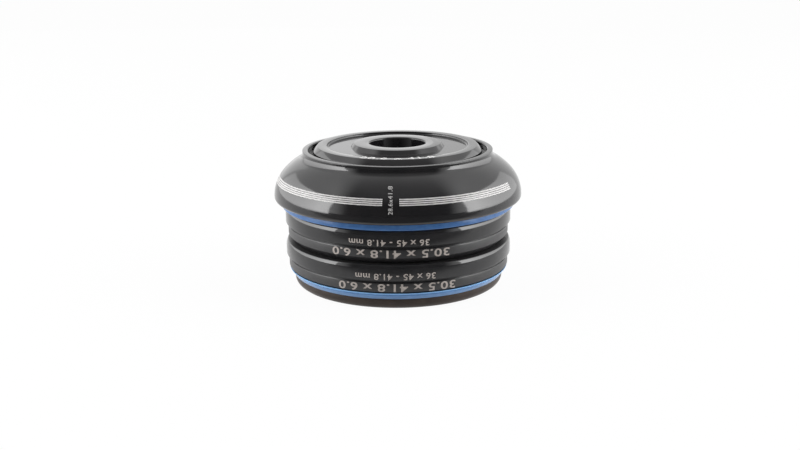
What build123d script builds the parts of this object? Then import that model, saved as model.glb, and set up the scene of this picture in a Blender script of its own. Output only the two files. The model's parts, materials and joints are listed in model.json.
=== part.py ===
from build123d import *
import os
from math import cos, radians, sqrt, tan

os.makedirs("parts", exist_ok=True)

# Integrated bicycle headset, stacked as it is sold, in millimetres.
# The steering axis is +Z and the crown race stands on z = 0.

# Tubes that the headset takes
steerer_radius = 28.6 / 2
crown_seat_step = 0.7  # the fork's crown seat stands out this much from its steering tube

# Cartridge bearing, the same for the upper and the lower place
bearing_radius = 41.8 / 2
bearing_bore_gap = 0.25  # between the bore and the crown seat's size
bearing_height = 6.0
bearing_edge_radius = 0.65
band_step = 0.45  # the lower band of the outer ring is turned this much smaller
band_height = 3.35  # height of the step above the underside
step_fillet_share = 0.5  # rounded corner under the step, as a share of its depth
step_edge_share = 0.3  # broken edge of the step, as a share of its depth
foot_seat_angle = 45.0  # seat at the foot of the outer ring, measured from the axis
foot_seat_share = 0.22  # width of that seat, as a share of the ring section
bore_seat_angle = 36.0  # seat in the bore, measured from the axis
bore_seat_share = 0.28  # depth of that seat, as a share of the ring section
inner_ring_rise = 0.2  # the inner ring stands back this much at the underside
inner_ring_drop = 0.1  # and this much at the top face
ball_radius = 2.5 / 2
pitch_share = 0.42  # place of the ball circle across the ring section
ball_count = 24
ball_clearance = 0.08
cage_clearance = 0.2
pocket_clearance = 0.1
bearing_seal_thickness = 0.5
bearing_seal_seat_share = 0.45  # place of the seal's edge between the ball groove's land and the foot
bearing_seal_lip_gap = 0.1
bearing_seal_fit = 0.03

# Crown race and its seal
race_seat_height = 2.6
race_seat_land = 0.6
race_rim_height = 2.0
race_rim_wall = 0.7
race_inset = 1.5  # the race stays this much inside the bearing
race_edge_radius = 1.3
race_seal_foot_wall = 0.35
race_seal_overhang = 0.15
race_seal_flare = 0.5
race_seal_groove = 0.1
race_seal_lip_gap = 0.08
race_seal_lip_inset = 0.1
race_seal_lip_drop = 0.4  # top of the lip below the top of the bearing's foot seat
race_seal_lip_thickness = 0.25
seal_fit = 0.05

# Compression ring
compression_skirt_gap = 0.1
compression_skirt_depth = 0.4
compression_seat_gap = 0.02
compression_flange_rise = 0.6  # underside of the flange above the bearing
compression_flange_height = 1.05
compression_flange_land = 0.52  # beyond the cone
compression_collar_height = 4.4
compression_collar_wall = 2.1
compression_collar_taper = 0.7
compression_slit = 2.0

# Bearing cover
cover_overhang = 1.95  # beyond the bearing
cover_lift = 1.45  # lower edge above the bearing
cover_height = 9.07
cover_edge_radius = 0.7
flank_share = 0.346  # place of the shoulder between the widest edge and the neck
flank_rise = 4.6
cover_wall = 1.5
hub_share = 0.47  # wall of the hub, as a share of the room between the collar and the shell
pocket_fit = 0.05
pocket_headroom = 0.4
ledge_thickness = 1.9
ledge_bore_gap = 0.15
recess_depth = 1.32
rim_wall = 1.05
rim_bevel = 0.3
rim_round = 0.28
neck_height = 1.3  # where the flank would meet the neck, below the rim
neck_fillet = 1.4

# Seal under the cover
cover_seal_overhang = 0.6  # beyond the bearing
cover_seal_wall = 0.6
cover_seal_seat = 0.75  # height held in the cover
cover_seal_gap = 0.28  # lower edge above the bearing
cover_seal_lip_gap = 0.25
cover_seal_lip_reach = 0.9
cover_seal_lip_thickness = 0.4

# Top cap
cap_overhang = 1.25  # beyond the steering tube
cap_gap = 0.9  # open ring between the cap and the cover's rim
cap_rise = 0.68  # outer ring of the cap above the cover's rim
cap_bevel_width = 0.85
cap_bevel_height = 0.95
cap_ring_width = 2.5
cap_floor_depth = 0.7
cap_floor_round = 0.6  # corner of the floor, under the outer ring
boss_rise = 0.3
boss_radius = 8.0
boss_bevel = 0.75
counterbore_radius = 5.15
counterbore_depth = 2.8
bolt_hole_radius = 3.25
hole_bevel = 0.2
spigot_gap = 0.35
spigot_wall = 1.8
spigot_depth = 2.0
web_thickness = 1.6
hub_radius = 7.2
hub_depth = 2.3

# Sizes that follow from the tubes
crown_seat_radius = steerer_radius + crown_seat_step
bearing_bore_radius = crown_seat_radius + bearing_bore_gap

# Heights of the stack
lower_base = race_seat_height - inner_ring_rise
upper_base = lower_base + bearing_height
stack_top = upper_base + bearing_height
inner_ring_top = bearing_height - inner_ring_drop
cover_bottom = stack_top + cover_lift
cover_top = cover_bottom + cover_height
recess_floor = cover_top - recess_depth
cap_top = cover_top + cap_rise

# Bearing section
ring_section = bearing_radius - bearing_bore_radius
pitch_radius = bearing_bore_radius + ring_section * pitch_share
ball_height = bearing_height / 2
inner_land_radius = pitch_radius - ball_radius / 2
outer_land_radius = pitch_radius + ball_radius / 2
groove_radius = ball_radius + ball_clearance
foot_seat_slope = tan(radians(foot_seat_angle))
foot_seat_width = ring_section * foot_seat_share
foot_seat_height = foot_seat_width / foot_seat_slope
lower_band_radius = bearing_radius - band_step
bearing_foot_radius = lower_band_radius - foot_seat_width
seal_seat_radius = outer_land_radius + (bearing_foot_radius - outer_land_radius) * bearing_seal_seat_share
bore_seat_slope = tan(radians(bore_seat_angle))
bore_seat_depth = ring_section * bore_seat_share
bore_seat_radius = bearing_bore_radius + bore_seat_depth * bore_seat_slope


def section(base=0.0):
    """Upright plane through the steering axis: across is the radius, up is the height above base."""
    return Plane(origin=(0, 0, base), x_dir=(1, 0, 0), z_dir=(0, -1, 0))


def finish(builder, name):
    """Name the piece and write it."""
    builder.part.label = name
    export_step(builder.part, f"parts/{name}.step")


def make_outer_ring(name, base):
    """Outer ring: turned band, smaller lower band, 45 degree foot, ball groove and two seal seats."""
    with BuildPart() as ring:
        with BuildSketch(section(base)) as profile:
            with BuildLine():
                Polyline(
                    (seal_seat_radius, 0),
                    (bearing_foot_radius, 0),
                    (lower_band_radius, foot_seat_height),
                    (lower_band_radius, band_height),
                    (bearing_radius, band_height),
                    (bearing_radius, bearing_height),
                    (seal_seat_radius, bearing_height),
                    (seal_seat_radius, bearing_height - bearing_seal_thickness),
                    (outer_land_radius, bearing_height - bearing_seal_thickness),
                    (outer_land_radius, bearing_seal_thickness),
                    (seal_seat_radius, bearing_seal_thickness),
                    close=True,
                )
            make_face()
            for corner, radius in (
                ((bearing_radius, bearing_height), bearing_edge_radius),
                ((lower_band_radius, band_height), band_step * step_fillet_share),
                ((bearing_radius, band_height), band_step * step_edge_share),
            ):
                fillet(profile.vertices().sort_by_distance(corner)[0], radius)
            with Locations((pitch_radius, ball_height)):
                Circle(groove_radius, mode=Mode.SUBTRACT)
        revolve(axis=Axis.Z)
    finish(ring, name)


def make_inner_ring(name, base):
    """Inner ring: bore, 36 degree seat at the top of the bore and ball groove."""
    with BuildPart() as ring:
        with BuildSketch(section(base)):
            with BuildLine():
                Polyline(
                    (bearing_bore_radius, inner_ring_rise),
                    (inner_land_radius, inner_ring_rise),
                    (inner_land_radius, inner_ring_top),
                    (bore_seat_radius, inner_ring_top),
                    (bearing_bore_radius, inner_ring_top - bore_seat_depth),
                    close=True,
                )
            make_face()
            with Locations((pitch_radius, ball_height)):
                Circle(groove_radius, mode=Mode.SUBTRACT)
        revolve(axis=Axis.Z)
    finish(ring, name)


def make_ball_cage(name, base):
    """Cage: a band between the rings with one round pocket for each ball."""
    foot = bearing_seal_thickness + cage_clearance
    with BuildPart() as cage:
        with BuildSketch(Plane.XY.offset(base + foot)):
            Circle(outer_land_radius - cage_clearance)
            Circle(inner_land_radius + cage_clearance, mode=Mode.SUBTRACT)
        extrude(amount=bearing_height - 2 * foot)
        with Locations((0, 0, base + ball_height)):
            with PolarLocations(pitch_radius, ball_count):
                Cylinder(
                    ball_radius + pocket_clearance,
                    ring_section,
                    rotation=(0, 90, 0),
                    mode=Mode.SUBTRACT,
                )
    finish(cage, name)


def make_balls(name, base):
    """Equal balls on the ball circle, as one group."""
    with BuildPart() as balls:
        with Locations((0, 0, base + ball_height)):
            with PolarLocations(pitch_radius, ball_count):
                Sphere(ball_radius)
    finish(balls, name)


def make_bearing_seal(name, base):
    """Thin ring seal, seated in the outer ring, with its lip just off the inner ring."""
    with BuildPart() as seal:
        with BuildSketch(Plane.XY.offset(base)):
            Circle(seal_seat_radius - bearing_seal_fit)
            Circle(inner_land_radius + bearing_seal_lip_gap, mode=Mode.SUBTRACT)
        extrude(amount=bearing_seal_thickness)
    finish(seal, name)


# Two equal cartridge bearings, one on the other
for place, base in (("lower", lower_base), ("upper", upper_base)):
    make_outer_ring(f"{place}_outer_ring", base)
    make_inner_ring(f"{place}_inner_ring", base)
    make_ball_cage(f"{place}_ball_cage", base)
    make_balls(f"{place}_balls", base)
    make_bearing_seal(f"{place}_bottom_seal", base)
    make_bearing_seal(f"{place}_top_seal", base + bearing_height - bearing_seal_thickness)

# Crown race: seat cone round the bore, channel for the seal's foot and a rounded outer rim
race_radius = bearing_radius - race_inset
race_cone_radius = crown_seat_radius + race_seat_land
race_channel_height = race_seat_height - bore_seat_depth
race_channel_radius = race_cone_radius + bore_seat_depth * bore_seat_slope
race_rim_bore = race_radius - race_rim_wall
with BuildPart() as crown_race:
    with BuildSketch(section()) as race_profile:
        with BuildLine():
            Polyline(
                (crown_seat_radius, 0),
                (race_radius, 0),
                (race_radius, race_rim_height),
                (race_rim_bore, race_rim_height),
                (race_rim_bore, race_channel_height),
                (race_channel_radius, race_channel_height),
                (race_cone_radius, race_seat_height),
                (crown_seat_radius, race_seat_height),
                close=True,
            )
        make_face()
        fillet(race_profile.vertices().sort_by_distance((race_radius, 0))[0], race_edge_radius)
    revolve(axis=Axis.Z)
finish(crown_race, "crown_race")

# Crown race seal: foot in the channel, flared face and a thin lip that follows the bearing's foot
foot_radius = race_rim_bore - seal_fit
foot_bore = foot_radius - race_seal_foot_wall
lip_radius = lower_band_radius - race_seal_lip_inset
lip_top = lower_base + foot_seat_height - race_seal_lip_drop
lip_bottom = lip_top - race_seal_lip_thickness
groove_height = lip_bottom - race_seal_groove
face_radius = race_radius + race_seal_overhang
face_top = groove_height - race_seal_groove
flare_radius = face_radius + race_seal_flare
web_top = lower_base - race_seal_lip_gap
lip_shift = race_seal_lip_gap / cos(radians(foot_seat_angle))
web_radius = bearing_foot_radius + lip_shift - race_seal_lip_gap * foot_seat_slope
lip_top_radius = web_radius + (lip_top - web_top) * foot_seat_slope
with BuildPart() as crown_race_seal:
    with BuildSketch(section()):
        with BuildLine():
            Polyline(
                (foot_bore, race_channel_height),
                (foot_radius, race_channel_height),
                (foot_radius, race_rim_height),
                (face_radius, race_rim_height),
                (flare_radius, face_top),
                (flare_radius - race_seal_groove, groove_height),
                (lip_radius, lip_bottom),
                (lip_radius, lip_top),
                (lip_top_radius, lip_top),
                (web_radius, web_top),
                (foot_bore, web_top),
                close=True,
            )
        make_face()
    revolve(axis=Axis.Z)
finish(crown_race_seal, "crown_race_seal")

# Compression ring: skirt in the bearing's bore, 36 degree cone, flange, tapered collar and one slit
skirt_radius = bearing_bore_radius - compression_skirt_gap
seat_shift = compression_seat_gap / cos(radians(bore_seat_angle))
seat_foot = upper_base + inner_ring_top - bore_seat_depth
cone_start = seat_foot - (compression_skirt_gap - seat_shift) / bore_seat_slope
skirt_bottom = cone_start - compression_skirt_depth
flange_bottom = stack_top + compression_flange_rise
flange_top = flange_bottom + compression_flange_height
cone_top_radius = skirt_radius + (flange_bottom - cone_start) * bore_seat_slope
flange_radius = cone_top_radius + compression_flange_land
collar_top = flange_top + compression_collar_height
collar_radius = steerer_radius + compression_collar_wall
collar_top_radius = collar_radius - compression_collar_taper
with BuildPart() as compression_ring:
    with BuildSketch(section()):
        with BuildLine():
            Polyline(
                (steerer_radius, skirt_bottom),
                (skirt_radius, skirt_bottom),
                (skirt_radius, cone_start),
                (cone_top_radius, flange_bottom),
                (flange_radius, flange_bottom),
                (flange_radius, flange_top),
                (collar_radius, flange_top),
                (collar_top_radius, collar_top),
                (steerer_radius, collar_top),
                close=True,
            )
        make_face()
    revolve(axis=Axis.Z)
    with Locations((0, 0, skirt_bottom)):
        Box(
            compression_slit,
            flange_radius,
            collar_top - skirt_bottom,
            align=(Align.CENTER, Align.MIN, Align.MIN),
            mode=Mode.SUBTRACT,
        )
finish(compression_ring, "compression_ring")

# Bearing cover: domed shell with a hub on the compression ring, a ledge for the cap and a narrow rim
cap_radius = steerer_radius + cap_overhang
recess_radius = cap_radius + cap_gap
rim_radius = recess_radius + rim_wall
cover_radius = bearing_radius + cover_overhang
widest_height = cover_bottom + cover_edge_radius
edge_radius = cover_radius - cover_edge_radius
flank_inset = (cover_radius - rim_radius) * flank_share
shoulder = (cover_radius - flank_inset, widest_height + flank_rise)
neck_foot = (rim_radius, cover_top - neck_height)
ledge_bottom = recess_floor - ledge_thickness
ledge_bore = steerer_radius + ledge_bore_gap
shell_inset = cover_wall * sqrt(0.5)  # the wall's thickness across, and down, on a slope of 45 degrees
shell_radius = shoulder[0] - shell_inset
pocket_radius = collar_radius + pocket_fit
hub_outer_radius = pocket_radius + (shell_radius - pocket_radius) * hub_share
pocket_top_radius = collar_top_radius + pocket_fit
pocket_top = collar_top + pocket_headroom
seal_outer_radius = bearing_radius + cover_seal_overhang
seal_ceiling = cover_bottom + cover_seal_seat
seal_inner_radius = seal_outer_radius - cover_seal_wall
with BuildPart() as bearing_cover:
    with BuildSketch(section()) as cover_profile:
        with BuildLine():
            CenterArc((edge_radius, widest_height), cover_edge_radius, -90, 90)
            lower_flank = TangentArc((cover_radius, widest_height), shoulder, tangent=(0, 1))
            TangentArc(shoulder, neck_foot, tangent=lower_flank % 1)
            Polyline(
                neck_foot,
                (rim_radius, cover_top),
                (recess_radius + rim_bevel, cover_top),
                (recess_radius, cover_top - rim_bevel),
                (recess_radius, recess_floor),
                (ledge_bore, recess_floor),
                (ledge_bore, ledge_bottom),
                (pocket_top_radius, ledge_bottom),
                (pocket_top_radius, pocket_top),
                (pocket_radius, flange_top),
                (hub_outer_radius, flange_top),
                (hub_outer_radius, neck_foot[1] - 2 * shell_inset),
                (shell_radius, shoulder[1] - shell_inset),
                (seal_inner_radius, widest_height + shell_inset),
                (seal_inner_radius, seal_ceiling),
                (seal_outer_radius + seal_fit, seal_ceiling),
                (seal_outer_radius + seal_fit, cover_bottom),
                (edge_radius, cover_bottom),
            )
        make_face()
        fillet(cover_profile.vertices().sort_by_distance(neck_foot)[0], neck_fillet)
        fillet(cover_profile.vertices().sort_by_distance((rim_radius, cover_top))[0], rim_round)
    revolve(axis=Axis.Z)
finish(bearing_cover, "bearing_cover")

# Seal under the cover: wall held in the cover's edge and a lip that hangs over the bearing
seal_bottom = stack_top + cover_seal_gap
hanging_lip_radius = seal_inner_radius - cover_seal_lip_reach
hanging_lip_bottom = stack_top + cover_seal_lip_gap
hanging_lip_top = hanging_lip_bottom + cover_seal_lip_thickness
with BuildPart() as cover_seal:
    with BuildSketch(section()):
        with BuildLine():
            Polyline(
                (seal_outer_radius, seal_bottom),
                (seal_outer_radius, seal_ceiling),
                (seal_inner_radius, seal_ceiling),
                (seal_inner_radius, seal_bottom + 2 * cover_seal_lip_thickness),
                (hanging_lip_radius, hanging_lip_top),
                (hanging_lip_radius, hanging_lip_bottom),
                (seal_inner_radius, seal_bottom),
                close=True,
            )
        make_face()
    revolve(axis=Axis.Z)
finish(cover_seal, "cover_seal")

# Top cap: bevelled outer ring, sunk floor, raised boss with a counterbored bolt hole, spigot below
cap_ring_radius = cap_radius - cap_bevel_width
cap_ring_bore = cap_ring_radius - cap_ring_width
cap_floor = cap_top - cap_floor_depth
boss_top = cap_top + boss_rise
counterbore_floor = boss_top - counterbore_depth
spigot_radius = ledge_bore - spigot_gap
spigot_bottom = recess_floor - spigot_depth
web_bottom = cap_floor - web_thickness
hub_bottom = recess_floor - hub_depth
with BuildPart() as top_cap:
    with BuildSketch(section()) as cap_profile:
        with BuildLine():
            Polyline(
                (bolt_hole_radius, hub_bottom),
                (hub_radius, hub_bottom),
                (hub_radius, web_bottom),
                (spigot_radius - spigot_wall, web_bottom),
                (spigot_radius - spigot_wall, spigot_bottom),
                (spigot_radius, spigot_bottom),
                (spigot_radius, recess_floor),
                (cap_radius, recess_floor),
                (cap_radius, cap_top - cap_bevel_height),
                (cap_ring_radius, cap_top),
                (cap_ring_bore, cap_top),
                (cap_ring_bore, cap_floor),
                (boss_radius + boss_bevel, cap_floor),
                (boss_radius, boss_top),
                (counterbore_radius + hole_bevel, boss_top),
                (counterbore_radius, boss_top - hole_bevel),
                (counterbore_radius, counterbore_floor),
                (bolt_hole_radius, counterbore_floor),
                close=True,
            )
        make_face()
        fillet(cap_profile.vertices().sort_by_distance((cap_ring_bore, cap_floor))[0], cap_floor_round)
    revolve(axis=Axis.Z)
finish(top_cap, "top_cap")
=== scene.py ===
import json
import math

import bpy
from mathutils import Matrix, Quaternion, Vector


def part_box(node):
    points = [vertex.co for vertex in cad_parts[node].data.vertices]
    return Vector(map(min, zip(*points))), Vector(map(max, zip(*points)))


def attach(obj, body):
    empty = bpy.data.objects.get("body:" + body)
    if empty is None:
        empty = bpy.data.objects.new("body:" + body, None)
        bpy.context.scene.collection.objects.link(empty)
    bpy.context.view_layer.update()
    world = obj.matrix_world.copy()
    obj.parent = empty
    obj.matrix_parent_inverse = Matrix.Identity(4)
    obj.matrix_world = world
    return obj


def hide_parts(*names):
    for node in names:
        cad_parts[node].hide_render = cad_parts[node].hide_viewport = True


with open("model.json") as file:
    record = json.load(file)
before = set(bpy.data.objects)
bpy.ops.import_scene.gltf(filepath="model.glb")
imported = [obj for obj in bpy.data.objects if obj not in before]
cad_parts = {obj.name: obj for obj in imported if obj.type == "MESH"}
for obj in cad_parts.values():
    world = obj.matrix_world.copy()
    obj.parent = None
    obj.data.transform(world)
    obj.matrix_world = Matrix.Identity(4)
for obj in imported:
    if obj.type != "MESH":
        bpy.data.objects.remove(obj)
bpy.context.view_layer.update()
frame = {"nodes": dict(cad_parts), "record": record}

# Integrated bicycle headset: smooth turned pieces in place of the plain solids, print, finishes, light and camera.
# Sizes are millimetres times MM. Radii and heights that the frame gives are read from it.
MM = 0.001
SEGMENTS = 480  # round each turned piece
FINE_EDGE = 0.05 * MM  # broken edge of a turned metal piece
EDGE_STEPS = 3  # across a broken edge
EDGE_ANGLE = math.radians(24)  # corners sharper than this are broken
SMOOTH_ANGLE = math.radians(35)  # corners flatter than this are shaded smooth
MERGE = 0.002 * MM  # points closer than this become one
DIGIT_SHARE = 0.69  # height of a digit as a share of the type's size
LETTER_SPACE = 1.08
LETTER_STEPS = 4  # on each curve of a letter
NOISE_LOW, NOISE_HIGH = 0.3, 0.7  # the middle of a noise, which a finish uses


# Modelling

def start_alone():
    """Nothing selected, so that the next operator touches only the new piece."""
    if bpy.context.object and bpy.context.object.mode != "OBJECT":
        bpy.ops.object.mode_set(mode="OBJECT")
    bpy.ops.object.select_all(action="DESELECT")


def arc(centre, radius, start, end, steps):
    """Points on a round stretch of an outline, from one angle to another, in degrees."""
    points = []
    for step in range(steps + 1):
        angle = math.radians(start + (end - start) * step / steps)
        points.append((centre[0] + radius * math.cos(angle), centre[1] + radius * math.sin(angle)))
    return points


def soften(piece, width):
    """Break the sharp edges of a piece and smooth the rest."""
    bevel = piece.modifiers.new("broken edges", "BEVEL")
    bevel.width = width
    bevel.segments = EDGE_STEPS
    bevel.limit_method = "ANGLE"
    bevel.angle_limit = EDGE_ANGLE
    bevel.use_clamp_overlap = False
    bpy.ops.object.modifier_apply(modifier=bevel.name)
    bpy.ops.object.shade_smooth_by_angle(angle=SMOOTH_ANGLE)
    shading = piece.modifiers.new("flat faces stay flat", "WEIGHTED_NORMAL")
    shading.keep_sharp = True
    bpy.ops.object.modifier_apply(modifier=shading.name)


def turned(name, outline, edge=FINE_EDGE):
    """A turned piece: a circle is drawn out from ring to ring along a closed outline of radius and height."""
    start_alone()
    radius, height = outline[0]
    bpy.ops.mesh.primitive_circle_add(vertices=SEGMENTS, radius=radius, location=(0, 0, height))
    piece = bpy.context.object
    piece.name = name
    piece.data.name = name
    bpy.ops.object.transform_apply(location=True, rotation=False, scale=False)
    bpy.ops.object.mode_set(mode="EDIT")
    bpy.ops.mesh.select_mode(type="EDGE")
    bpy.ops.mesh.select_all(action="SELECT")
    for next_radius, next_height in outline[1:] + outline[:1]:
        bpy.ops.mesh.extrude_edges_move(TRANSFORM_OT_translate={"value": (0, 0, next_height - height)})
        grow = next_radius / radius
        bpy.ops.transform.resize(value=(grow, grow, 1), center_override=(0, 0, next_height))
        radius, height = next_radius, next_height
    bpy.ops.mesh.select_all(action="SELECT")
    bpy.ops.mesh.remove_doubles(threshold=MERGE)
    bpy.ops.mesh.normals_make_consistent(inside=False)
    bpy.ops.object.mode_set(mode="OBJECT")
    soften(piece, edge)
    return piece


def open_ring(piece, gaps):
    """Cut stretches out of a ring, each between two angles in degrees from the front, and close the ends."""
    bpy.ops.object.mode_set(mode="EDIT")
    bpy.ops.mesh.select_mode(type="FACE")
    bpy.ops.mesh.select_all(action="DESELECT")
    bpy.ops.object.mode_set(mode="OBJECT")
    for face in piece.data.polygons:
        bearing = math.degrees(math.atan2(face.center.x, -face.center.y))
        face.select = any(low < bearing < high for low, high in gaps)
    bpy.ops.object.mode_set(mode="EDIT")
    bpy.ops.mesh.delete(type="FACE")
    bpy.ops.mesh.select_mode(type="EDGE")
    bpy.ops.mesh.select_non_manifold()
    bpy.ops.mesh.fill_holes(sides=0)
    bpy.ops.mesh.select_all(action="SELECT")
    bpy.ops.mesh.normals_make_consistent(inside=False)
    bpy.ops.object.mode_set(mode="OBJECT")


def figures_on(name, words, height, stretch, thickness, tilt, lean=90, weight=0.0):
    """Figures made a thin mesh.

    Tilt turns them in their own plane and lean raises them to face the front, both in degrees. Weight thickens
    their strokes, as a share of the height.
    """
    start_alone()
    bpy.ops.object.text_add(location=(0, 0, 0))
    figures = bpy.context.object
    figures.name = name
    figures.data.body = words
    figures.data.size = height / DIGIT_SHARE
    figures.data.align_x = "CENTER"
    figures.data.align_y = "CENTER"
    figures.data.space_character = LETTER_SPACE
    figures.data.offset = height * weight
    figures.data.extrude = thickness / 2
    figures.data.resolution_u = LETTER_STEPS
    bpy.ops.object.convert(target="MESH")
    figures.data.name = name
    bpy.ops.object.mode_set(mode="EDIT")
    bpy.ops.mesh.select_all(action="SELECT")
    bpy.ops.mesh.remove_doubles(threshold=MERGE)
    bpy.ops.transform.resize(value=(stretch, 1, 1), center_override=(0, 0, 0))
    bpy.ops.mesh.subdivide(number_cuts=1)
    bpy.ops.mesh.normals_make_consistent(inside=False)
    bpy.ops.object.mode_set(mode="OBJECT")
    figures.rotation_euler = (math.radians(lean), math.radians(tilt), 0)
    bpy.ops.object.transform_apply(location=False, rotation=True, scale=False)
    return figures


def lay_round(piece, radius):
    """Bend a piece back round an upright axis, to a radius."""
    sides = [corner[0] for corner in piece.bound_box]
    curl = piece.modifiers.new("laid round", "SIMPLE_DEFORM")
    curl.deform_method = "BEND"
    curl.deform_axis = "Z"
    curl.angle = (max(sides) - min(sides)) / radius
    bpy.ops.object.modifier_apply(modifier=curl.name)


def put(piece, spot, turn=0):
    """Move a piece to its spot, then turn it round the steering axis from the front, in degrees."""
    piece.location = spot
    bpy.ops.object.transform_apply(location=True, rotation=False, scale=False)
    piece.rotation_euler = (0, 0, math.radians(turn))
    bpy.ops.object.transform_apply(location=False, rotation=True, scale=False)


# Patterns and sums in a node tree

def axes(tree, vector):
    """The three parts of a place or a direction."""
    split = tree.nodes.new("ShaderNodeSeparateXYZ")
    tree.links.new(vector, split.inputs["Vector"])
    return split.outputs


def maths(tree, operation, *values):
    """Join numbers and sockets by one operation."""
    joined = tree.nodes.new("ShaderNodeMath")
    joined.operation = operation
    for socket, value in zip(joined.inputs, values):
        if isinstance(value, float):
            socket.default_value = value
        else:
            tree.links.new(value, socket)
    return joined.outputs["Value"]


def ramped(tree, value, start, end, low=0.0, high=1.0, soft=True):
    """Map the stretch from start to end to another one, with soft ends or evenly."""
    span = tree.nodes.new("ShaderNodeMapRange")
    if soft:
        span.interpolation_type = "SMOOTHSTEP"
    for socket, number in (("From Min", start), ("From Max", end), ("To Min", low), ("To Max", high)):
        span.inputs[socket].default_value = number
    tree.links.new(value, span.inputs["Value"])
    return span.outputs["Result"]


def cloudy(shader, scale, detail=3.0):
    """Soft noise in the piece's own frame."""
    tree = shader.id_data
    spot = tree.nodes.new("ShaderNodeTexCoord")
    noise = tree.nodes.new("ShaderNodeTexNoise")
    noise.inputs["Scale"].default_value = scale
    noise.inputs["Detail"].default_value = detail
    tree.links.new(spot.outputs["Object"], noise.inputs["Vector"])
    return noise.outputs["Fac"]


def lathe_lines(shader, scale):
    """Fine rings round the steering axis, as a turning tool leaves them: noise of radius and height alone."""
    tree = shader.id_data
    spot = axes(tree, tree.nodes.new("ShaderNodeTexCoord").outputs["Object"])
    flat = tree.nodes.new("ShaderNodeCombineXYZ")
    reach = tree.nodes.new("ShaderNodeVectorMath")
    reach.operation = "LENGTH"
    rings = tree.nodes.new("ShaderNodeCombineXYZ")
    noise = tree.nodes.new("ShaderNodeTexNoise")
    noise.inputs["Scale"].default_value = scale
    noise.inputs["Detail"].default_value = 2.0
    tree.links.new(spot["X"], flat.inputs["X"])
    tree.links.new(spot["Y"], flat.inputs["Y"])
    tree.links.new(flat.outputs["Vector"], reach.inputs[0])
    tree.links.new(reach.outputs["Value"], rings.inputs["X"])
    tree.links.new(spot["Z"], rings.inputs["Z"])
    tree.links.new(rings.outputs["Vector"], noise.inputs["Vector"])
    return noise.outputs["Fac"]


# Finishes

def new_finish(name):
    """A node material and its shader."""
    finish = bpy.data.materials.new(name)
    finish.use_nodes = True
    return finish, finish.node_tree.nodes["Principled BSDF"]


def tint(shader, noise, dark, light):
    """Colour the surface between two colours, by a noise."""
    tree = shader.id_data
    ramp = tree.nodes.new("ShaderNodeValToRGB")
    for stop, position, colour in zip(ramp.color_ramp.elements, (NOISE_LOW, NOISE_HIGH), (dark, light)):
        stop.position = position
        stop.color = (*colour, 1)
    tree.links.new(noise, ramp.inputs["Fac"])
    tree.links.new(ramp.outputs["Color"], shader.inputs["Base Color"])


def sheen(shader, noise, smooth, rough):
    """Vary the roughness between two values, by a noise."""
    tree = shader.id_data
    roughness = ramped(tree, noise, NOISE_LOW, NOISE_HIGH, smooth, rough, soft=False)
    tree.links.new(roughness, shader.inputs["Roughness"])


def relief(shader, noise, strength, depth):
    """Raise and sink the surface a little, by a noise."""
    tree = shader.id_data
    bump = tree.nodes.new("ShaderNodeBump")
    bump.inputs["Strength"].default_value = strength
    bump.inputs["Distance"].default_value = depth
    tree.links.new(noise, bump.inputs["Height"])
    tree.links.new(bump.outputs["Normal"], shader.inputs["Normal"])


def gloss_black():
    """Polished black anodised aluminium of the cap and the cover."""
    finish, shader = new_finish("gloss_black")
    lines = lathe_lines(shader, scale=9000)
    tint(shader, cloudy(shader, scale=260), dark=(0.007, 0.007, 0.008), light=(0.011, 0.010, 0.011))
    sheen(shader, lines, smooth=0.07, rough=0.12)
    relief(shader, lines, strength=0.015, depth=0.01 * MM)
    shader.inputs["IOR"].default_value = 1.6
    return finish


def coated_steel(name, dark, light, smooth, rough):
    """Black coated bearing steel, finely turned."""
    finish, shader = new_finish(name)
    lines = lathe_lines(shader, scale=12000)
    tint(shader, cloudy(shader, scale=700, detail=5.0), dark, light)
    sheen(shader, lines, smooth, rough)
    relief(shader, lines, strength=0.18, depth=0.01 * MM)
    shader.inputs["IOR"].default_value = 1.55
    return finish


def race_black():
    """Dark oxide on the crown race, a little brown."""
    finish, shader = new_finish("race_black")
    lines = lathe_lines(shader, scale=7000)
    tint(shader, cloudy(shader, scale=500, detail=4.0), dark=(0.021, 0.013, 0.009), light=(0.034, 0.022, 0.0155))
    sheen(shader, lines, smooth=0.34, rough=0.50)
    relief(shader, lines, strength=0.2, depth=0.015 * MM)
    shader.inputs["IOR"].default_value = 1.38
    return finish


def blue_rubber(name, dark, light):
    """Blue moulded seal rubber, faintly mottled."""
    finish, shader = new_finish(name)
    clouds = cloudy(shader, scale=900, detail=4.0)
    tint(shader, clouds, dark, light)
    sheen(shader, clouds, smooth=0.13, rough=0.22)
    relief(shader, clouds, strength=0.06, depth=0.02 * MM)
    return finish


def pale_print(name, dark, light):
    """Pale print of lines and figures."""
    finish, shader = new_finish(name)
    clouds = cloudy(shader, scale=1500, detail=4.0)
    tint(shader, clouds, dark, light)
    sheen(shader, clouds, smooth=0.32, rough=0.45)
    return finish


def etched_grey():
    """Warm grey figures burnt into the bearing's black coat."""
    finish, shader = new_finish("etched_grey")
    clouds = cloudy(shader, scale=2400, detail=4.0)
    tint(shader, clouds, dark=(0.30, 0.265, 0.24), light=(0.44, 0.395, 0.365))
    sheen(shader, clouds, smooth=0.42, rough=0.6)
    return finish


def bare_aluminium():
    """Bare turned aluminium of the compression ring."""
    finish, shader = new_finish("bare_aluminium")
    lines = lathe_lines(shader, scale=6000)
    tint(shader, lines, dark=(0.52, 0.52, 0.53), light=(0.68, 0.68, 0.69))
    sheen(shader, lines, smooth=0.26, rough=0.4)
    relief(shader, lines, strength=0.2, depth=0.02 * MM)
    shader.inputs["Metallic"].default_value = 1.0
    return finish


def polished_steel():
    """Bearing balls."""
    finish, shader = new_finish("polished_steel")
    clouds = cloudy(shader, scale=1200)
    tint(shader, clouds, dark=(0.60, 0.60, 0.61), light=(0.66, 0.66, 0.67))
    sheen(shader, clouds, smooth=0.05, rough=0.12)
    shader.inputs["Metallic"].default_value = 1.0
    return finish


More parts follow.
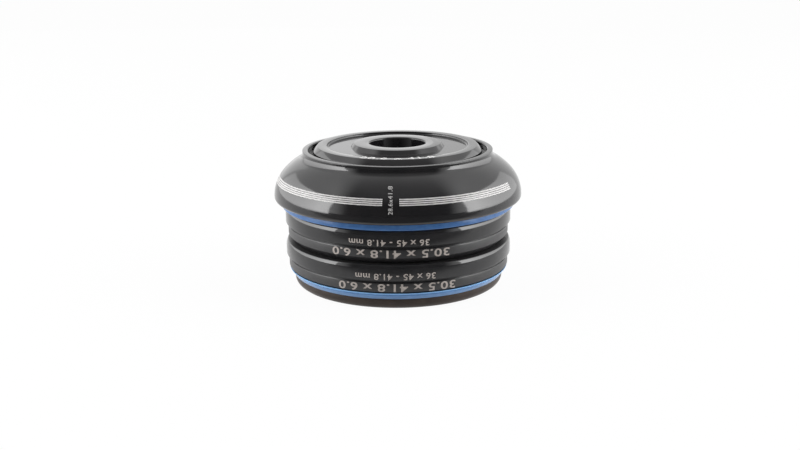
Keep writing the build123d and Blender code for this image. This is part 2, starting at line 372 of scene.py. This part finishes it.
def nylon():
    """Natural nylon of the ball cages."""
    finish, shader = new_finish("nylon")
    clouds = cloudy(shader, scale=800)
    tint(shader, clouds, dark=(0.56, 0.51, 0.41), light=(0.64, 0.60, 0.50))
    sheen(shader, clouds, smooth=0.45, rough=0.6)
    return finish


def black_rubber():
    """Matt black seals of the bearings."""
    finish, shader = new_finish("black_rubber")
    clouds = cloudy(shader, scale=1400, detail=5.0)
    tint(shader, clouds, dark=(0.014, 0.014, 0.015), light=(0.026, 0.026, 0.027))
    sheen(shader, clouds, smooth=0.5, rough=0.68)
    relief(shader, clouds, strength=0.1, depth=0.03 * MM)
    return finish


coat_dark, coat_light = (0.010, 0.010, 0.011), (0.016, 0.0155, 0.0165)
finishes = {
    "black_anodised": gloss_black(),
    "black_steel": coated_steel("satin_black", coat_dark, coat_light, smooth=0.13, rough=0.18),
    "race_steel": race_black(),
    "blue_seal": blue_rubber("blue_rubber", dark=(0.040, 0.117, 0.295), light=(0.055, 0.148, 0.35)),
    "bare_aluminium": bare_aluminium(),
    "ball_steel": polished_steel(),
    "cage_nylon": nylon(),
    "black_rubber": black_rubber(),
}
bright_black_finish = coated_steel("bright_black", coat_dark, coat_light, smooth=0.045, rough=0.075)
ground_black_finish = coated_steel(
    "ground_black", dark=(0.015, 0.015, 0.016), light=(0.023, 0.0225, 0.0235), smooth=0.34, rough=0.44
)
# Lighter copy of the blue rubber for the crown race's seal: painted light, in place of the extra light the seal
# gets from the floor
painted_light_seal_finish = blue_rubber("painted_light_blue_rubber", dark=(0.088, 0.205, 0.415), light=(0.112, 0.245, 0.475))
# Still paler copy of the blue rubber for the seal's thin lip: painted light
painted_light_lip_finish = blue_rubber("painted_light_lip_rubber", dark=(0.160, 0.355, 0.64), light=(0.20, 0.42, 0.73))
silver_print_finish = pale_print("silver_print", dark=(0.46, 0.45, 0.445), light=(0.60, 0.59, 0.585))
white_print_finish = pale_print("white_print", dark=(0.78, 0.77, 0.76), light=(0.88, 0.87, 0.86))
etched_grey_finish = etched_grey()


def place(piece, body, slot, finish=None, stands_for=None):
    """Give a piece its finish, the body that it rides on and the solid that it stands for."""
    piece.data.materials.clear()
    piece.data.materials.append(finish or finishes[slot])
    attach(piece, body)
    if stands_for:
        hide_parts(stands_for)


# Top cap: bevelled outer ring, sunk floor with a rounded corner, raised boss and counterbored hole
cap_low, cap_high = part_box("top_cap")
cap_radius = cap_high.x
boss_top = cap_high.z
cap_top = boss_top - 0.3 * MM
cap_foot = boss_top - 2.3 * MM
cap_floor = cap_top - 0.47 * MM
cap_bevel_width = 0.85 * MM
cap_bevel_height = 0.95 * MM
cap_ring_radius = cap_radius - cap_bevel_width
cap_ring_width = 1.7 * MM
cap_ring_bore = cap_ring_radius - cap_ring_width
floor_corner = 0.3 * MM
boss_radius = 8.0 * MM
boss_bevel = 0.58 * MM
counterbore_radius = 5.15 * MM
counterbore_floor = boss_top - 2.8 * MM
hole_bevel = 0.2 * MM
bolt_hole_radius = 3.25 * MM
spigot_radius = 14.1 * MM
spigot_bore = spigot_radius - 1.8 * MM
spigot_bottom = cap_foot - 2.0 * MM
cap_hub_radius = 7.2 * MM
cap_hub_bottom = cap_low.z
cap_web_bottom = cap_top - 2.3 * MM
cap_outline = [
    (bolt_hole_radius, cap_hub_bottom),
    (cap_hub_radius, cap_hub_bottom),
    (cap_hub_radius, cap_web_bottom),
    (spigot_bore, cap_web_bottom),
    (spigot_bore, spigot_bottom),
    (spigot_radius, spigot_bottom),
    (spigot_radius, cap_foot),
    (cap_radius, cap_foot),
    (cap_radius, cap_top - cap_bevel_height),
    (cap_ring_radius, cap_top),
    (cap_ring_bore, cap_top),
]
cap_outline += arc((cap_ring_bore - floor_corner, cap_floor + floor_corner), floor_corner, 0, -90, steps=8)
cap_outline += [
    (boss_radius + boss_bevel, cap_floor),
    (boss_radius, boss_top),
    (counterbore_radius + hole_bevel, boss_top),
    (counterbore_radius, boss_top - hole_bevel),
    (counterbore_radius, counterbore_floor),
    (bolt_hole_radius, counterbore_floor),
]
cap = turned("cap_turned", cap_outline)
place(cap, "steering_side", "black_anodised", stands_for="top_cap")

# A plain size printed on the front of the cap's ring, laid round it
print_proud = 0.012 * MM
print_sunk = 0.05 * MM
print_depth = print_proud + print_sunk
print_middle = (print_proud - print_sunk) / 2  # of the print's thickness, above the surface
cap_figures_radius = cap_ring_radius - cap_ring_width / 2
cap_figures_height = 1.4 * MM
cap_figures = figures_on(
    "cap_figures", "28.6 x 41.8", cap_figures_height, stretch=1.36, thickness=print_depth, tilt=0, lean=0
)
lay_round(cap_figures, cap_figures_radius)
put(cap_figures, (0, -cap_figures_radius, cap_top + print_middle))
place(cap_figures, "steering_side", "black_anodised", finish=white_print_finish)

# Bearing cover: rounded lower edge, flank of two arcs, hollow neck, sloping rim and the ledge inside
cover_low, cover_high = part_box("bearing_cover")
cover_radius = cover_high.x
cover_bottom, cover_top = cover_low.z, cover_high.z
edge_round = 0.7 * MM
widest = cover_bottom + edge_round
rim_bore = cap_radius + 0.9 * MM
rim_radius = rim_bore + 1.05 * MM
rim_round = 0.12 * MM
rim_bevel = 0.16 * MM
rim_drop = 0.07 * MM  # from the inner edge to the outer one
flank_rise = 4.6 * MM
flank_inset = (cover_radius - rim_radius) * 0.346
shoulder_radius = cover_radius - flank_inset
shoulder = widest + flank_rise
neck_foot = cover_top - 1.3 * MM
neck_fillet = 1.4 * MM

# The lower flank leaves the widest edge upright and ends at the shoulder
lower_flank_radius = (flank_inset ** 2 + flank_rise ** 2) / (2 * flank_inset)
lower_flank_centre = (cover_radius - lower_flank_radius, widest)
shoulder_tilt = math.asin(flank_rise / lower_flank_radius)
shoulder_angle = math.degrees(shoulder_tilt)

# The upper flank goes on from there without a corner, to where it would meet the neck
away = Vector((math.cos(shoulder_tilt), math.sin(shoulder_tilt)))
chord = Vector((rim_radius - shoulder_radius, neck_foot - shoulder))
upper_flank_radius = -chord.length_squared / (2 * chord.dot(away))
upper_flank_centre = Vector((shoulder_radius, shoulder)) - away * upper_flank_radius

# A fillet touches the neck and the upper flank
fillet_radius = rim_radius + neck_fillet
fillet_reach = upper_flank_radius + neck_fillet
touch = math.acos((fillet_radius - upper_flank_centre.x) / fillet_reach)
fillet_centre = (fillet_radius, upper_flank_centre.y + fillet_reach * math.sin(touch))
touch_angle = math.degrees(touch)


def flank(height):
    """Radius of the cover's lower flank at a height."""
    return lower_flank_centre[0] + math.sqrt(lower_flank_radius ** 2 - (height - widest) ** 2)


seal_low, seal_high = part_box("cover_seal")
seal_radius = seal_high.x
seal_bore = seal_radius - 0.6 * MM
seal_rebate = seal_radius + 0.05 * MM
ledge_bore = 14.45 * MM
recess_floor = cap_foot
ledge_bottom = recess_floor - 1.9 * MM
shell_wall = 1.5 * MM
shell_inset = shell_wall * math.sqrt(0.5)
collar_radius = 16.4 * MM
collar_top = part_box("compression_ring")[1].z
pocket_radius = collar_radius + 0.05 * MM
pocket_top_radius = pocket_radius - 0.7 * MM
pocket_top = collar_top + 0.4 * MM
hub_bottom = collar_top - 4.4 * MM
hub_radius = pocket_radius + (shoulder_radius - shell_inset - pocket_radius) * 0.47
cover_outline = arc((cover_radius - edge_round, widest), edge_round, -90, 0, steps=12)
cover_outline += arc(lower_flank_centre, lower_flank_radius, 0, shoulder_angle, steps=20)[1:]
cover_outline += arc(upper_flank_centre, upper_flank_radius, shoulder_angle, touch_angle, steps=20)[1:]
cover_outline += arc(fillet_centre, neck_fillet, touch_angle - 180, -180, steps=10)[1:]
cover_outline += arc((rim_radius - rim_round, cover_top - rim_drop - rim_round), rim_round, 0, 85, steps=10)
cover_outline += [
    (rim_bore + rim_bevel, cover_top),
    (rim_bore, cover_top - rim_bevel),
    (rim_bore, recess_floor),
    (ledge_bore, recess_floor),
    (ledge_bore, ledge_bottom),
    (pocket_top_radius, ledge_bottom),
    (pocket_top_radius, pocket_top),
    (pocket_radius, hub_bottom),
    (hub_radius, hub_bottom),
    (hub_radius, neck_foot - 2 * shell_inset),
    (shoulder_radius - shell_inset, shoulder - shell_inset),
    (seal_bore, widest + shell_inset),
    (seal_bore, seal_high.z),
    (seal_rebate, seal_high.z),
    (seal_rebate, cover_bottom),
]
cover = turned("cover_turned", cover_outline)
place(cover, "steering_side", "black_anodised", stands_for="bearing_cover")

# Four fine lines printed round the flank, open at the front and on the right
line_pitch = 0.30 * MM
line_width = 0.195 * MM
line_edge = 0.004 * MM
lowest_line = cover_bottom + 3.38 * MM
front_gap = (-7.0, 0.5)
right_gap = (64.0, 118.0)
for number in range(4):
    low = lowest_line + number * line_pitch
    high = low + line_width
    line_outline = [
        (flank(low) + print_proud, low),
        (flank(high) + print_proud, high),
        (flank(high) - print_sunk, high),
        (flank(low) - print_sunk, low),
    ]
    line = turned(f"cover_line_{number + 1}", line_outline, edge=line_edge)
    open_ring(line, (front_gap, right_gap))
    place(line, "steering_side", "black_anodised", finish=silver_print_finish)

# Seal under the cover: face flared at its foot, hanging lip
seal_face_bottom = seal_low.z + 0.03 * MM
seal_round = 0.2 * MM
seal_waist = seal_radius - 0.13 * MM
seal_flare_height = 0.7 * MM
hanging_lip_radius = seal_bore - 0.9 * MM
hanging_lip_thickness = 0.4 * MM
hanging_lip_root = 0.8 * MM
cover_seal_outline = arc(
    (seal_radius - seal_round, seal_face_bottom + seal_round), seal_round, -90, 0, steps=8
)
cover_seal_outline += [
    (seal_waist, seal_face_bottom + seal_flare_height),
    (seal_waist, seal_high.z),
    (seal_bore, seal_high.z),
    (seal_bore, seal_face_bottom + hanging_lip_root),
    (hanging_lip_radius, seal_low.z + hanging_lip_thickness),
    (hanging_lip_radius, seal_low.z),
    (seal_bore, seal_face_bottom),
]
cover_seal = turned("cover_seal_moulded", cover_seal_outline)
place(cover_seal, "steering_side", "blue_seal", stands_for="cover_seal")

# Outer rings of the two equal bearings: steep chamfer, wide band, step with a relief groove under it, lower band,
# 45 degree foot and ball groove
bearing_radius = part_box("lower_outer_ring")[1].x
bearing_height = 6.0 * MM
bearing_bore = 15.25 * MM
ring_section = 5.65 * MM
chamfer_height = 0.75 * MM
chamfer_width = 0.24 * MM
chamfer_break = 0.1 * MM
band_step = 0.45 * MM
band_height = 3.35 * MM
step_edge = band_step * 0.3
groove_height = 0.56 * MM
groove_depth = 0.25 * MM
brow_height = 0.14 * MM  # leaning upper edge of the lower band
brow_width = 0.035 * MM
foot_seat = ring_section * 0.22
ball_radius = 1.25 * MM
ball_path_radius = bearing_bore + ring_section * 0.42
ball_groove_radius = ball_radius + 0.08 * MM
outer_land = ball_path_radius + ball_radius / 2
ball_groove_angle = math.degrees(math.acos((outer_land - ball_path_radius) / ball_groove_radius))
bearing_seal = 0.5 * MM
lower_band = bearing_radius - band_step
foot_radius = lower_band - foot_seat
seal_seat = outer_land + (foot_radius - outer_land) * 0.45
flat_normal = 0.99
for level in ("lower", "upper"):
    ring_low, ring_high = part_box(f"{level}_outer_ring")
    base, top = ring_low.z, ring_high.z
    step = base + band_height
    brow_top = step - groove_height
    brow_foot = brow_top - brow_height
    outline = [
        (seal_seat, base),
        (foot_radius, base),
        (lower_band, base + foot_seat),
        (lower_band, brow_foot),
        (lower_band - brow_width, brow_top),
        (lower_band - groove_depth, brow_top),
        (lower_band - groove_depth, step),
    ]
    outline += arc((bearing_radius - step_edge, step + step_edge), step_edge, -90, 0, steps=5)
    outline += [
        (bearing_radius, top - chamfer_height),
        (bearing_radius - chamfer_width, top - chamfer_break),
        (bearing_radius - chamfer_width - chamfer_break, top),
        (seal_seat, top),
        (seal_seat, top - bearing_seal),
        (outer_land, top - bearing_seal),
    ]
    ball_path = (ball_path_radius, base + bearing_height / 2)
    outline += arc(ball_path, ball_groove_radius, ball_groove_angle, -ball_groove_angle, steps=10)
    outline += [
        (outer_land, base + bearing_seal),
        (seal_seat, base + bearing_seal),
    ]
    ring = turned(f"{level}_ring_turned", outline)
    place(ring, "head_tube_side", "black_steel", stands_for=f"{level}_outer_ring")

    # The flat faces and the lower band are ground after coating, and a little duller. The outer edges are bright.
    ring.data.materials.append(ground_black_finish)
    ring.data.materials.append(bright_black_finish)
    for face in ring.data.polygons:
        reach = math.hypot(face.center.x, face.center.y)
        height = face.center.z
        on_band = reach > foot_radius and height < brow_foot
        on_chamfer = reach > seal_seat and height > top - chamfer_height
        on_step = reach > lower_band and step < height < step + step_edge
        if on_band or abs(face.normal.z) > flat_normal:
            face.material_index = 1
        elif on_chamfer or on_step:
            face.material_index = 2

# Plain size figures etched on each outer ring, upside down because the bearings stand on their other face
etch_proud = 0.02 * MM
etch_sunk = 0.06 * MM
etch_depth = etch_proud + etch_sunk
etch_weight = 0.022
large_height, large_stretch, large_middle = 1.34 * MM, 1.48, 1.96 * MM
small_height, small_stretch, small_middle = 1.05 * MM, 1.15, 4.05 * MM
for level, large_turn, small_turn in (("lower", -0.7, -1.5), ("upper", -4.0, -4.5)):
    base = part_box(f"{level}_outer_ring")[0].z
    for size, words, height, stretch, radius, middle, turn in (
        ("large", "30.5 x 41.8 x 6.0", large_height, large_stretch, lower_band, large_middle, large_turn),
        ("small", "36 x 45 - 41.8 mm", small_height, small_stretch, bearing_radius, small_middle, small_turn),
    ):
        figures = figures_on(
            f"{level}_{size}_figures", words, height, stretch, etch_depth, tilt=180, weight=etch_weight
        )
        lay_round(figures, radius)
        put(figures, (0, etch_depth / 2 - etch_proud - radius, base + middle), turn)
        place(figures, "head_tube_side", "black_steel", finish=etched_grey_finish)

# Plain sizes printed upright in the front gap of the cover's lines, laid on the flank from the front
cover_figures_height = 0.75 * MM
cover_figures_spot = (-1.2 * MM, -cover_radius - 1 * MM, cover_bottom + 4.12 * MM)
cover_figures = figures_on(
    "cover_figures", "28.6x41.8", cover_figures_height, stretch=0.93, thickness=0, tilt=-90
)
put(cover_figures, cover_figures_spot)
wrap = cover_figures.modifiers.new("laid on the flank", "SHRINKWRAP")
wrap.target = cover
wrap.wrap_method = "PROJECT"
wrap.use_project_y = True
wrap.offset = print_middle
bpy.ops.object.modifier_apply(modifier=wrap.name)
ink = cover_figures.modifiers.new("thickness of the print", "SOLIDIFY")
ink.thickness = print_depth
ink.offset = 0
bpy.ops.object.modifier_apply(modifier=ink.name)
place(cover_figures, "steering_side", "black_anodised", finish=silver_print_finish)

# Crown race: seat cone, channel for the seal and a rounded outer edge
race_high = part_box("crown_race")[1]
race_radius = race_high.x
race_edge = 1.3 * MM
race_rim = 2.0 * MM
race_bore = 15.0 * MM
race_cone = race_bore + 0.6 * MM
race_rim_bore = race_radius - 0.7 * MM
seat_depth = ring_section * 0.28
seat_angle = math.radians(36)
race_channel = race_high.z - seat_depth
race_outline = [(race_bore, 0)]
race_outline += arc((race_radius - race_edge, race_edge), race_edge, -90, 0, steps=14)
race_outline += [
    (race_radius, race_rim),
    (race_rim_bore, race_rim),
    (race_rim_bore, race_channel),
    (race_cone + seat_depth * math.tan(seat_angle), race_channel),
    (race_cone, race_high.z),
    (race_bore, race_high.z),
]
race = turned("race_turned", race_outline)
place(race, "crown_side", "race_steel", stands_for="crown_race")

# Seal on the crown race: foot in the channel, flared face, fine groove and a thin lip under the bearing
lip_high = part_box("crown_race_seal")[1]
lip_radius = lip_high.x
lip_top = lip_high.z
lip_bottom = lip_top - 0.25 * MM
lip_lean = 0.08 * MM
lip_gap = 0.08 * MM
seal_groove = 0.1 * MM
moulded_edge = 0.035 * MM
face_radius = race_radius + 0.15 * MM
flare_radius = face_radius + 0.5 * MM
web_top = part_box("lower_outer_ring")[0].z - lip_gap
web_radius = foot_radius + lip_gap * (math.sqrt(2) - 1)
foot_outside = race_rim_bore - 0.05 * MM
foot_inside = foot_outside - 0.35 * MM
race_seal_outline = [
    (foot_inside, race_channel),
    (foot_outside, race_channel),
    (foot_outside, race_rim),
    (face_radius, race_rim),
    (flare_radius, lip_bottom - 2 * seal_groove),
    (flare_radius - seal_groove, lip_bottom - seal_groove),
    (lip_radius - lip_lean, lip_bottom),
    (lip_radius, lip_top),
    (web_radius + lip_top - web_top, lip_top),
    (web_radius, web_top),
    (foot_inside, web_top),
]
race_seal = turned("race_seal_moulded", race_seal_outline, edge=moulded_edge)
# The seal gets the lighter copy of the blue rubber: painted light
place(race_seal, "crown_side", "blue_seal", finish=painted_light_seal_finish, stands_for="crown_race_seal")

# The thin lip is given a still paler copy of the blue: painted light against the shade under the bearing's foot
race_seal.data.materials.append(painted_light_lip_finish)
for face in race_seal.data.polygons:
    if math.hypot(face.center.x, face.center.y) > web_radius and face.center.z > lip_bottom - seal_groove:
        face.material_index = 1

# The pieces inside keep their solids and get their finishes
for part in frame["record"]["subparts"]:
    node = frame["nodes"][part["node"]]
    if not node.hide_render:
        node.data.materials.clear()
        node.data.materials.append(finishes[part["material_slot"]])

# Floor: pale paper, white to the camera. What metal shows of it is white behind and beside the object and dark in
# front of it.
floor_size = 8
floor_white_from, floor_dark_from = -0.012, -0.055  # places on Y
floor_white, floor_dark = 0.86, 0.10
floor_glow = 0.95  # share of the white that is the floor's own light
start_alone()
bpy.ops.mesh.primitive_plane_add(size=floor_size, location=(0, 0, 0))
floor = bpy.context.object
floor.name = "floor"
paper, matt = new_finish("white_paper")
matt.inputs["Roughness"].default_value = 0.9
tree = paper.node_tree
spot = axes(tree, tree.nodes.new("ShaderNodeTexCoord").outputs["Object"])
rays = tree.nodes.new("ShaderNodeLightPath").outputs
shown = maths(tree, "ADD", rays["Is Glossy Ray"], rays["Is Transmission Ray"])
dark = maths(tree, "MULTIPLY", shown, ramped(tree, spot["Y"], floor_white_from, floor_dark_from))
colour = ramped(tree, dark, 0.0, 1.0, floor_white, floor_dark, soft=False)
seen = maths(tree, "ADD", rays["Is Camera Ray"], shown)
white = maths(tree, "MULTIPLY", maths(tree, "SUBTRACT", seen, dark), floor_glow)
glow = tree.nodes.new("ShaderNodeEmission")
mix = tree.nodes.new("ShaderNodeMixShader")
tree.links.new(colour, matt.inputs["Base Color"])
tree.links.new(white, mix.inputs["Fac"])
tree.links.new(matt.outputs["BSDF"], mix.inputs[1])
tree.links.new(glow.outputs["Emission"], mix.inputs[2])
tree.links.new(mix.outputs["Shader"], tree.nodes["Material Output"].inputs["Surface"])
floor.data.materials.append(paper)

# World: white to the camera, white behind and beside the object, grey above it and dark in front of it.
# Each span is of one part of a direction: upward, sideways or away from the camera.
front_dark, overhead_grey = 0.10, 0.42
overhead_from, overhead_to = 0.55, 0.98
side_white = 1.5
side_from, side_to = 0.35, 0.65
side_lean = 0.5  # how much of the part away from the camera counts as sideways
behind_from, behind_to = -0.25, 0.75
matt_light = 0.8  # what matt surfaces get from behind
world = bpy.data.worlds.new("studio")
bpy.context.scene.world = world
world.use_nodes = True
tree = world.node_tree
sky = tree.nodes["Background"]
sky.inputs["Color"].default_value = (1, 1, 1, 1)
direction = axes(tree, tree.nodes.new("ShaderNodeTexCoord").outputs["Generated"])
rays = tree.nodes.new("ShaderNodeLightPath").outputs
above = ramped(tree, direction["Z"], overhead_from, overhead_to, front_dark, overhead_grey)
sideways = maths(tree, "MULTIPLY_ADD", direction["Y"], side_lean, maths(tree, "ABSOLUTE", direction["X"]))
beside = ramped(tree, sideways, side_from, side_to, high=side_white)
ahead = maths(tree, "ADD", above, beside)
behind = ramped(tree, direction["Y"], behind_from, behind_to)
seen = maths(tree, "MAXIMUM", rays["Is Camera Ray"], behind)
shown = maths(tree, "MAXIMUM", rays["Is Glossy Ray"], rays["Is Transmission Ray"])
either = maths(tree, "MAXIMUM", shown, rays["Is Camera Ray"])
backdrop = ramped(tree, either, 0.0, 1.0, low=matt_light, soft=False)
strength = tree.nodes.new("ShaderNodeMix")
tree.links.new(seen, strength.inputs["Factor"])
tree.links.new(ahead, strength.inputs["A"])
tree.links.new(backdrop, strength.inputs["B"])
tree.links.new(strength.outputs["Result"], sky.inputs["Strength"])


def add_softbox(name, width, height, brightness, spot, turn):
    """A soft box that the camera doesn't see, as bright as a white surface of that strength."""
    light = bpy.data.lights.new(name, "AREA")
    light.shape = "RECTANGLE"
    light.size = width
    light.size_y = height
    light.energy = brightness * math.pi * width * height
    softbox = bpy.data.objects.new(name, light)
    softbox.location = spot
    softbox.rotation_euler = turn
    softbox.visible_camera = False
    bpy.context.scene.collection.objects.link(softbox)
    return light


# Two long soft boxes, one on each side, from a little in front of the object to behind it
box_distance = 0.30
box_front, box_back = -0.155, 0.42
box_bottom, box_top = 0.002, 0.225
box_brightness = 5.6  # at the front end
box_fade = 0.09  # share of it that is left at the back end
box_even = 0.115  # share of the length that doesn't fade
for side, name in ((-1, "left_softbox"), (1, "right_softbox")):
    light = add_softbox(
        name,
        width=box_back - box_front,
        height=box_top - box_bottom,
        brightness=box_brightness,
        spot=(side * box_distance, (box_front + box_back) / 2, (box_bottom + box_top) / 2),
        turn=(math.pi / 2, 0, side * math.pi / 2),
    )
    light.use_nodes = True
    tree = light.node_tree
    along = axes(tree, tree.nodes.new("ShaderNodeNewGeometry").outputs["Parametric"])["X"]
    fade_start, fade_end = (box_even, 1.0) if side > 0 else (1 - box_even, 0.0)
    fade = ramped(tree, along, fade_start, fade_end, soft=False)
    tree.links.new(maths(tree, "POWER", box_fade, fade), tree.nodes["Emission"].inputs["Strength"])

# A third, weaker soft box behind the object on the left, facing it
add_softbox(
    "back_softbox", width=0.36, height=0.35, brightness=0.30, spot=(-0.157, 0.55, 0.177), turn=(-math.pi / 2, 0, 0)
)

# Camera, fitted to the photograph's edges; the image is 800 by 450
image_width = 800
focal_pixels = 1149.1
camera_distance = 215.46 * MM
camera_elevation = math.radians(14.646)
camera_roll = math.radians(-0.515)
target = Vector((0.341 * MM, 0, 10.153 * MM))
camera = bpy.data.objects.new("camera", bpy.data.cameras.new("camera"))
camera.data.sensor_width = 36
camera.data.lens = camera.data.sensor_width * focal_pixels / image_width
camera.data.clip_start = 0.01
towards_camera = Vector((0, -math.cos(camera_elevation), math.sin(camera_elevation)))
camera.location = target + camera_distance * towards_camera
look = (target - camera.location).to_track_quat("-Z", "Y")
camera.rotation_euler = (look @ Quaternion((0, 0, 1), camera_roll)).to_euler()
bpy.context.scene.collection.objects.link(camera)
bpy.context.scene.camera = camera
bpy.context.scene.view_settings.view_transform = "Standard"
